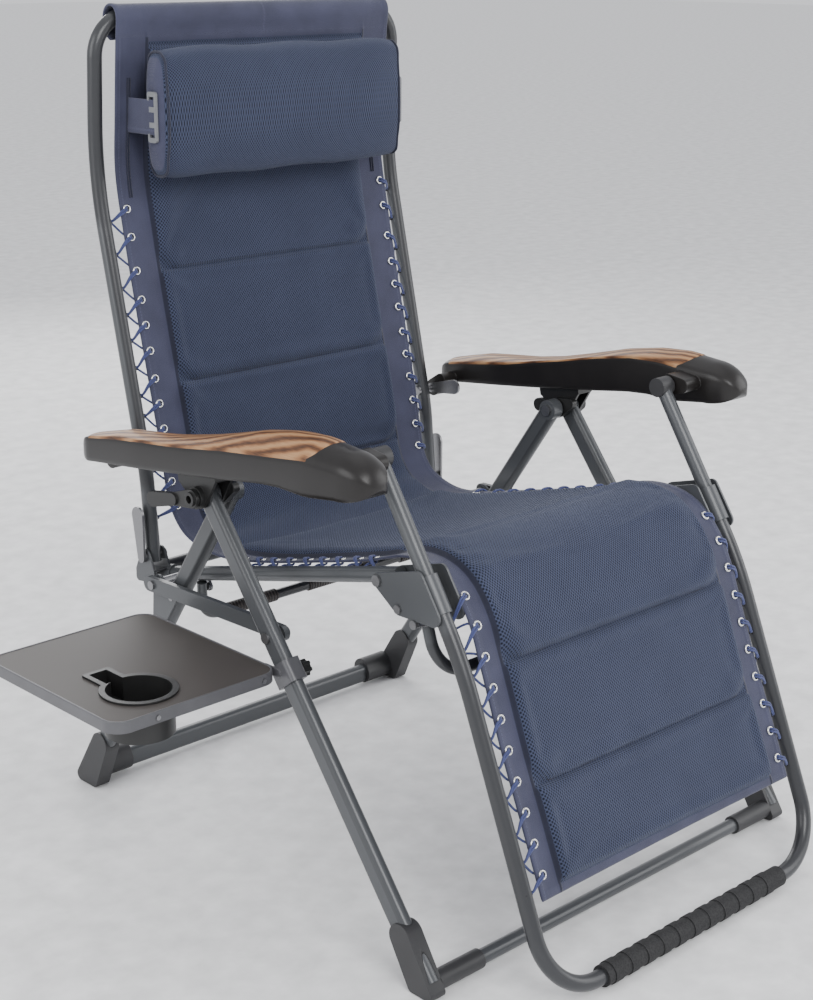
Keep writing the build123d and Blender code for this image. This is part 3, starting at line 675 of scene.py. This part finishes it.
# dark seam under the lower edge of each padded cell, with its rounded corners
for body, cells in (("back", CELLS[:3]), ("seat", CELLS[3:4]), ("legrest", CELLS[4:6])):
    runs = []
    for a, b in cells:
        p, r, pts = pad_half(b) - 3, 34.0, []
        for x, s in ((-p, b - 64), (-p, b - 48), (-p, b - r)):
            pts.append(surface(x, s, 2.6))
        for q in range(1, 7):
            ang = math.pi / 2 * q / 7
            pts.append(surface(-p + r - r * math.cos(ang), b - r + r * math.sin(ang), 2.6))
        for q in range(25):
            pts.append(surface((-1 + q / 12) * (p - r), b, 2.6))
        for q in range(6, 0, -1):
            ang = math.pi / 2 * q / 7
            pts.append(surface(p - r + r * math.cos(ang), b - r + r * math.sin(ang), 2.6))
        for x, s in ((p, b - r), (p, b - 48), (p, b - 64)):
            pts.append(surface(x, s, 2.6))
        runs.append(pts)
    pipe = join_curves("piping_" + body, runs, 0.0019, M_PIPE, resolution=3)
    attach(pipe, body)

# ---------------------------------------------------------------- eyelets and lacing

BACK_TUBE = [(245, 366), (251, 430), (256, 490), (302, 690), (347, 885), (343, 960), (334, 1090)]
LEGREST_TUBE = [(-221, 462), (-272, 432.6), (-323, 403), (-343, 388), (-356, 365), (-428, 190), (-500, 16)]
TUBES = {
    "back": (265.0, catmull(np.array(BACK_TUBE, float))),
    "seat": (250.0, np.array([(300 - 5 * i, 330 + 5 * i * 0.2553) for i in range(105)])),
    "legrest": (262.0, catmull(np.array(LEGREST_TUBE, float))),
}
ROWS = {
    "back": [s_near(318 if z > 800 else 260, z, S_BAR) for z in (432 + 37 * i for i in range(12))],
    "seat": [s_near(y, 425, S_SEAT - 30) for y in (104 - 34 * i for i in range(9))],
    "legrest": list(np.linspace(s_near(-316, 455), s_near(-450, 149), 10)),
}
EYELET = [
    (3.7, -1.2), (3.6, 0.0), (3.8, 1.3), (4.6, 1.9), (5.6, 1.6), (6.3, 0.7), (6.4, -0.2), (5.4, -1.2), (4.6, -1.6),
]
HOOK = [(3.4, 0.0), (2.9, 1.1), (1.9, 1.1), (1.5, 0.0), (1.9, -1.1), (2.9, -1.1)]


def ring_mesh(centre, axis, profile, turns=20):
    """A ring of that profile (radius, height) about an axis."""
    axis = Vector(axis).normalized()
    u = (Vector((1, 0, 0)) - axis * axis.x).normalized()
    w = axis.cross(u)
    vs, fs, m = [], [], len(profile)
    for i in range(turns):
        a = 2 * math.pi * i / turns
        vs += [tuple(Vector(centre) + u * math.cos(a) * r + w * math.sin(a) * r + axis * h) for r, h in profile]
        for j in range(m):
            a1, b1 = i * m + j, i * m + (j + 1) % m
            k = ((i + 1) % turns) * m
            fs.append((a1, b1, k + (j + 1) % m, k + j))
    return vs, fs


for body, stations in ROWS.items():
    stations = sorted(stations)
    tube_x, path = TUBES[body]
    ev, ef, em, hv, hf, runs = [], [], [], [], [], []
    for side in (-1, 1):
        pts = []
        for i, s in enumerate(stations):
            n = at(s)[2]
            ex = half_width(s) - 10.5
            last = len(stations) - 1
            pitch = (stations[min(i + 1, last)] - stations[max(i - 1, 0)]) / (2 if 0 < i < last else 1)
            centre = surface(side * ex, s, 1.4)
            vs, fs = ring_mesh(centre, (0, n[0], n[1]), EYELET)
            k = len(ev)
            ev += vs
            ef += [tuple(q + k for q in f) for f in fs]
            em += [0] * len(fs)
            # painted shade: a black disc closes each eyelet's hole, standing for the dark inside of the hole
            k = len(ev)
            hole_shade_disc = [vs[q * len(EYELET) + 1] for q in range(20)]
            ev += hole_shade_disc
            ef.append(tuple(range(k, k + 20)))
            em.append(1)
            # a small hook on the inner side of the tube, half way to the next eyelet
            sh = min(s + pitch * 0.46, LENGTH)
            (hy, hz), _, hn = at(sh)
            d = np.hypot(path[:, 0] - hy, path[:, 1] - hz)
            ty, tz = path[int(np.argmin(d))]
            hook = (side * (tube_x - 11.8), ty, tz)
            vs, fs = ring_mesh(hook, (0, hn[0], hn[1]), HOOK, 12)
            k = len(hv)
            hv += vs
            hf += [tuple(q + k for q in f) for f in fs]
            edge = half_width(s) + 1.5
            pts += [
                surface(side * (ex - 1.5), s - 0.5, -4.5), surface(side * (ex - 1.0), s, 0.5),
                surface(side * (ex + 1.0), s + 1.5, 4.2),
                surface(side * (ex + 6), s + pitch * 0.10, 4.6), surface(side * edge, s + pitch * 0.18, 3.4),
                (side * (tube_x - 13.5), ty + hn[0] * 2.2, tz + hn[1] * 2.2),
                (side * (tube_x - 10.2), ty, tz),
                (side * (tube_x - 13.5), ty - hn[0] * 2.6, tz - hn[1] * 2.6),
            ]
            nxt = s + pitch
            if i < len(stations) - 1:
                pts.append(surface(side * edge, nxt - pitch * 0.2, -3.6))
                pts.append(surface(side * (ex + 5), nxt - pitch * 0.08, -4.6))
            runs.append([
                surface(side * (ex - 0.5), s - 3.2, 1.0), surface(side * (ex + 1.5), s - 2.0, 4.4),
                surface(side * (ex + 6), s + pitch * 0.10 - 3.4, 4.8), surface(side * edge, s + pitch * 0.18 - 3.6, 3.6),
                (side * (tube_x - 12.5), ty + hn[0] * 3.6, tz + hn[1] * 3.6),
                (side * (tube_x - 10.4), ty + hn[0] * 1.0, tz + hn[1] * 1.0),
            ])
        runs.append(pts)
    eyelets = mesh_object("eyelets_" + body, ev, ef, (M_NICKEL, M_BLACK), None, True, em)
    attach(eyelets, body)
    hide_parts(body + "_eyelets")
    hooks = mesh_object("lace_hooks_" + body, hv, hf, (M_BLACK,))
    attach(hooks, body)
    lace = join_curves("lacing_" + body, runs, 0.0015, M_CORD, order=3, resolution=4)
    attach(lace, body)
    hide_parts(body + "_lacing")

# ---------------------------------------------------------------- headrest pillow, strap

RING, HALF_X, HALF_Y, HALF_Z = 56, 213.0, 27.5, 85.0
CENTRE_Y, CENTRE_Z = 279.5, 964.5
stations = [(-1.0, 0.0), (-1.022, 0.35), (-1.02, 0.62), (-1.008, 0.82), (-0.994, 0.93)]
body_x = np.linspace(-0.975, 0.975, 58)
stations += [(u, 1.0) for u in body_x]
stations += [(-u, k) for u, k in stations[:5][::-1]]
pv, pf, pm, puv, pin = [], [], [], [], []
for u, k in stations:
    shrink = k * (1 - 0.075 * abs(u) ** 14)
    thin = 1 - 0.22 * abs(u) ** 8
    for q in range(RING):
        a = 2 * math.pi * q / RING
        c, d = math.cos(a), math.sin(a)
        y = math.copysign(abs(c) ** 0.58, c) * HALF_Y * thin * shrink
        z = math.copysign(abs(d) ** 0.52, d) * HALF_Z * shrink
        if k == 1.0:
            fold = math.exp(-(1 - abs(u)) / 0.10)
            y += 1.4 * fold * math.sin(7 * a + 1.0) - 0.8 * math.sin(u * 5 + 1.1) * math.cos(2 * a)
            z += 1.2 * math.sin(u * 9 + 0.6) * abs(d)
        pv.append((u * HALF_X, CENTRE_Y + y, CENTRE_Z + z))
        puv.append((u * HALF_X * MM, q / RING * 0.44))
        pin.append(k < 1.0)
for j in range(len(stations) - 1):
    cap = not (4 <= j < len(stations) - 5)
    for q in range(RING):
        a, b = j * RING + q, j * RING + (q + 1) % RING
        pf.append((a, a + RING, b + RING, b))
        pm.append(1 if cap else 0)
pv = np.array(pv) + cloth_settle("pillow_sim", pv, pf, np.array(pin), 3.0, 5.0)
pillow = mesh_object("headrest_cushion", pv, pf, (M_MESH, M_PLAIN), puv, True, pm)
bm = bmesh.new()
bm.from_mesh(pillow.data)
bmesh.ops.remove_doubles(bm, verts=bm.verts, dist=1e-6)
bmesh.ops.recalc_face_normals(bm, faces=bm.faces)
bm.to_mesh(pillow.data)
bm.free()
sub = pillow.modifiers.new("Subdivision", "SUBSURF")
sub.levels = sub.render_levels = 1
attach(pillow, "headrest")
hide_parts("headrest_pillow")
seams = []
for j in (5, len(stations) - 6):
    ring = np.array(pv[j * RING:(j + 1) * RING])
    out = ring - ring.mean(axis=0)
    seams.append((ring + out / np.linalg.norm(out, axis=1)[:, None] * 0.6).tolist())
seam = join_curves("headrest_piping", seams, 0.0016, M_PIPE, cyclic=True, resolution=3)
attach(seam, "headrest")

route = catmull(np.array([
    (-206, 279), (-214, 270), (-219.5, 272), (-221, 286), (-221, 305), (-221, 325), (-221, 342), (-216, 351),
    (-200, 354),
    (-100, 355), (0, 355), (100, 355), (200, 354), (216, 351), (221, 342), (221, 325), (221, 305), (221, 286),
    (219.5, 272), (214, 270), (206, 279)], float), 10)
sv, sf, suv = [], [], []
run = np.concatenate([[0], np.cumsum(np.hypot(*np.diff(route, axis=0).T))])
for i, (x, y) in enumerate(route):
    a, b = route[max(i - 1, 0)], route[min(i + 1, len(route) - 1)]
    t = (b - a) / np.linalg.norm(b - a)
    for off in (-0.7, 0.7):
        for z in (938, 940, 961, 982, 984):
            edge = 0.6 if z in (938, 984) else 1.0
            sv.append((x - t[1] * off * edge, y + t[0] * off * edge, z))
            suv.append(((z - 938 + 0.4) * MM, run[i] * MM))
for i in range(len(route) - 1):
    k = i * 10
    loop = [0, 1, 2, 3, 4, 9, 8, 7, 6, 5]
    for a, b in zip(loop, loop[1:] + loop[:1]):
        sf.append((k + a, k + b, k + 10 + b, k + 10 + a))
for k in (0, (len(route) - 1) * 10):
    sf.append(tuple(k + q for q in (0, 1, 2, 3, 4, 9, 8, 7, 6, 5)))
strap = mesh_object("headrest_strap", sv, sf, (M_PLAIN,), suv)
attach(strap, "headrest")
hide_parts("pillow_strap")
# the long slits the strap slides in, each with a bound welt
runs = []
for side in (-1, 1):
    low, high = s_near(330, 850, S_BAR), s_near(328, 1010, S_BAR)
    for off in (-1.9, 1.9):
        runs.append([surface(side * 221 + off, high + (low - high) * q / 20, 1.2) for q in range(21)])
welts = join_curves("strap_slit_welts", runs, 0.0013, M_PIPE, resolution=3)
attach(welts, "back")

# ---------------------------------------------------------------- armrests

ARM_X, ARM_REAR, ARM_FRONT = 335.0, (261.0, 518.0), (-206.0, 606.0)
ARM_OUTER = [(-240, 619), (-191, 620), (-108, 609), (-45, 601), (55, 585), (147, 574), (207, 565), (274, 553)]
ARM_CREST = [
    (-240, 637), (-193, 641), (-146, 638), (-85, 627), (-21, 610), (39, 595), (94, 585), (188, 575), (234, 564),
    (274, 554),
]
ARM_INNER = [(-240, 622), (-164, 627), (-116, 625), (-54, 614), (11, 599), (129, 574), (271, 550)]
ARM_UNDER = [(-240, 582), (-193, 576), (-146, 577), (-109, 574), (-46, 564), (89, 545), (230, 527), (274, 521)]
ARM_HALF = [(-240, 30), (-190, 32), (-100, 31), (0, 29), (150, 27), (262, 22), (274, 17)]


def along_arm(table, y):
    return float(np.interp(max(y, -240.0), [q[0] for q in table], [q[1] for q in table]))


def nose(y):
    """How far the section has shrunk towards the rounded tip, 1 back from it and 0 at the tip."""
    return math.sqrt(max(0.0, 1 - (min(y + 240.0, 0.0) / 47.0) ** 2))


def tail(y):
    return 7.0 * (1 - math.sqrt(max(0.0, 1 - (max(y - 258.0, 0.0) / 16.5) ** 2)))


def arm_top(u, y):
    """Height of the crowned top at u, from -1 at the outer edge to 1 at the inner edge."""
    edge = along_arm(ARM_OUTER if u < 0 else ARM_INNER, y)
    z = edge + (along_arm(ARM_CREST, y) - edge) * (1 - abs(u) ** 2.3)
    return 600.0 + (z - 600.0) * nose(y) - tail(y)


def arm_half(y):
    return max(along_arm(ARM_HALF, y) * nose(y) ** 0.75, 1.5)


def prism(rounds, x0, x1):
    """Convex outline round some circles (y, z, radius), drawn from one X plane to another."""
    cloud = sorted({(round(y + r * math.cos(a), 3), round(z + r * math.sin(a), 3))
                    for y, z, r in rounds for a in np.linspace(0, 2 * math.pi, 33)[:-1]})

    def turns_in(a, b, c):
        return (b[0] - a[0]) * (c[1] - a[1]) > (b[1] - a[1]) * (c[0] - a[0])

    def chain(points):
        out = []
        for p in points:
            while len(out) > 1 and not turns_in(out[-2], out[-1], p):
                out.pop()
            out.append(p)
        return out

    rim = chain(cloud)[:-1] + chain(cloud[::-1])[:-1]
    n = len(rim)
    vs = [(x0, y, z) for y, z in rim] + [(x1, y, z) for y, z in rim]
    fs = [(i, (i + 1) % n, n + (i + 1) % n, n + i) for i in range(n)]
    return vs, fs + [tuple(range(n)), tuple(range(n, 2 * n))]


def tidy_normals(obj, angle=40):
    bm = bmesh.new()
    bm.from_mesh(obj.data)
    bmesh.ops.recalc_face_normals(bm, faces=bm.faces)
    for e in bm.edges:
        e.smooth = len(e.link_faces) < 2 or e.calc_face_angle(0) < math.radians(angle)
    bm.to_mesh(obj.data)
    bm.free()


TOP_U = list(np.linspace(-0.95, 0.95, 17))
ys = [274.0, 272.5, 269, 264, 258] + list(np.linspace(250, 201, 5)) + [199.5] + list(np.linspace(190, -128, 22))
ys += [-131.5, -133] + list(np.linspace(-145, -240, 8)) + [-240 - 47 * math.sin(a) for a in np.linspace(0.12, 1.55, 14)]
for side, s in (("left", 1), ("right", -1)):
    av, af = [], []
    for y in ys:
        w, b = arm_half(y), 600.0 + (along_arm(ARM_UNDER, y) - 600.0) * nose(y) + tail(y) * 0.5
        lo, hi = arm_top(-1, y), arm_top(1, y)
        k = nose(y)
        slot = min(18.0, 0.8 * w)
        roof = b
        if -132 < y < 200:
            roof = ARM_REAR[1] + (ARM_REAR[0] - y) * 0.1884 + 10.2
        ring = [(-slot, b), (-0.92 * w, b), (-0.97 * w, b + 2 * k), (-w, b + 6 * k)]
        ring += [(-w, lo - 6 * k), (-0.992 * w, lo - 3 * k), (-0.975 * w, lo - 1.2 * k)]
        ring += [(u * w, arm_top(u, y)) for u in TOP_U]
        ring += [(0.975 * w, hi - 1.2 * k), (0.992 * w, hi - 3 * k), (w, hi - 6 * k)]
        ring += [(w, b + 6 * k), (0.97 * w, b + 2 * k), (0.92 * w, b)]
        ring += [(slot, b), (slot, roof), (-slot, roof)]
        av += [(s * (ARM_X - x), y, z) for x, z in ring]
    n = len(ring)
    for j in range(len(ys) - 1):
        af += [(j * n + i, j * n + (i + 1) % n, (j + 1) * n + (i + 1) % n, (j + 1) * n + i) for i in range(n)]
    af += [tuple(range(n)), tuple(range((len(ys) - 1) * n, len(ys) * n))]
    for rounds, x0, x1 in (
        ([(*ARM_REAR, 13), (245, 532, 10)], 285, 318), ([(*ARM_FRONT, 15), (-228, 608, 10)], 275.5, 310),
        ([(*ARM_FRONT, 4.5)], 259, 276),
    ):
        vs, fs = prism(rounds, s * x0, s * x1)
        k = len(av)
        av += vs
        af += [tuple(q + k for q in f) for f in fs]
    shell = mesh_object("armrest_shell_" + side, av, af, (M_ARM,))
    tidy_normals(shell, 50)
    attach(shell, "armrests")
    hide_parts("armrest_" + side)

    us = [-0.975, -0.968, -0.955] + TOP_U[1:-1] + [0.955, 0.968, 0.975]
    vv = [-0.006, -0.003, 0.001] + list(np.linspace(0.012, 0.988, 60)) + [0.999, 1.003, 1.006]
    wv = []
    for sheet in (0, 1):
        for j, v in enumerate(vv):
            for i, u in enumerate(us):
                bow = math.sqrt(1 - min(abs(u), 1.0) ** 2)
                y0, y1 = 249 + 12 * bow, -186 - 27 * bow
                y = y0 + (y1 - y0) * v
                edge = min(i, len(us) - 1 - i, j, len(vv) - 1 - j)
                up = -2.6 if sheet else (-1.4, 0.5, 1.1)[min(edge, 2)]
                wv.append((s * (ARM_X - u * arm_half(y)), y, arm_top(u, y) + up))
    R, C = len(vv), len(us)
    wf = []
    for j in range(R - 1):
        for i in range(C - 1):
            a = j * C + i
            wf.append((a, a + 1, a + C + 1, a + C))
            wf.append(tuple(q + R * C for q in (a, a + C, a + C + 1, a + 1)))
    loop = list(range(C)) + [j * C + C - 1 for j in range(1, R)]
    loop += [(R - 1) * C + i for i in range(C - 2, -1, -1)] + [j * C for j in range(R - 2, 0, -1)]
    for a, b in zip(loop, loop[1:] + loop[:1]):
        wf.append((a, b, b + R * C, a + R * C))
    wood = mesh_object("armrest_wood_" + side, wv, wf, (M_WOOD,))
    tidy_normals(wood, 60)
    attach(wood, "armrests")
    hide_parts("armrest_inlay_" + side)

# ---------------------------------------------------------------- floor, light, camera

floor_material = moulded("floor_m", (0.93, 0.93, 0.93), 0.8, grain=60, strength=0.02)
FLOOR = 30000.0
corners = [(-FLOOR, -FLOOR, -1), (FLOOR, -FLOOR, -1), (FLOOR, FLOOR, -1), (-FLOOR, FLOOR, -1)]
floor = mesh_object("floor", corners, [(0, 1, 2, 3)], (floor_material,))

world = bpy.data.worlds.new("studio")
scene.world = world
world.use_nodes = True
world.node_tree.nodes["Background"].inputs["Color"].default_value = (0.95, 0.96, 1.0, 1)
world.node_tree.nodes["Background"].inputs["Strength"].default_value = 0.95


def area(name, place, target, size, power):
    light = bpy.data.lights.new(name, "AREA")
    light.size, light.energy = size, power
    obj = bpy.data.objects.new(name, light)
    scene.collection.objects.link(obj)
    obj.location = place
    obj.rotation_euler = (Vector(target) - Vector(place)).to_track_quat("-Z", "Y").to_euler()


HEART = (0.1, 0.0, 0.5)
area("key", (-1.2, -3.0, 2.6), HEART, 1.8, 76)
area("fill", (3.0, -2.2, 1.6), HEART, 2.4, 48)
area("top", (0.2, 0.3, 3.6), HEART, 2.2, 8)
area("left", (-3.2, 0.6, 1.8), HEART, 2.2, 50)
area("behind", (1.4, 3.0, 2.0), HEART, 2.0, 45)

camera_data = bpy.data.cameras.new("camera")
camera_data.lens, camera_data.sensor_width = 65.3, 36.0
camera_data.shift_x, camera_data.shift_y = 0.0105, -0.017
camera_data.clip_end = 200
camera = bpy.data.objects.new("camera", camera_data)
scene.collection.objects.link(camera)
turn = Matrix.Rotation(math.radians(-43.40), 4, "Z") @ Matrix.Rotation(math.radians(90 - 16.62), 4, "X")
roll = Matrix.Rotation(math.radians(0.2), 4, "Z")
camera.matrix_world = Matrix.Translation(metres([(-1646, -1699, 1183)])[0]) @ turn @ roll
scene.camera = camera

bpy.context.view_layer.update()
